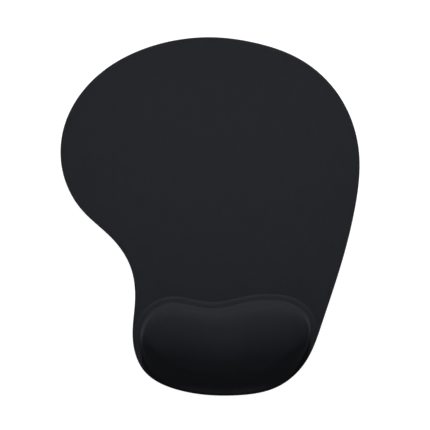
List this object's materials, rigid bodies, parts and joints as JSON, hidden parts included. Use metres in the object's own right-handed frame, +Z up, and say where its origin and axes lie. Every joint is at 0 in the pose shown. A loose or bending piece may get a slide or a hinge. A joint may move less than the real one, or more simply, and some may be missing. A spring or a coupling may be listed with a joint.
{
  "type": "mouse pad with wrist rest",
  "caption": "Bean-outlined cloth-topped mouse pad with a raised two-lobed gel wrist rest built into its near edge.",
  "frame": {"origin": "on the desk, under the middle of the outline's bounding rectangle", "axes": "+Z up off the desk, +Y away from the user along the pad's length, +X to the user's right"},
  "size_m": [0.2088, 0.2501, 0.0217],
  "materials": {
    "base_rubber": "moulded anti-slip polyurethane, matt",
    "bond_film": "dark hot-melt film, soaked into its neighbours",
    "foam": "fine closed-cell foam",
    "cell_film": "smooth satin film",
    "gel": "soft clear gel, smooth",
    "face_cloth": "fine black stretch knit, matt with a faint sheen"
  },
  "bodies": {
    "root": {"antislip_base": "base_rubber", "base_bond_film": "bond_film", "foam_core": "foam", "gel_cell_bottom_film": "cell_film", "gel_fill": "gel", "gel_cell_top_film": "cell_film", "cloth_bond_film": "bond_film", "face_cloth": "face_cloth"}
  },
  "joints": []
}
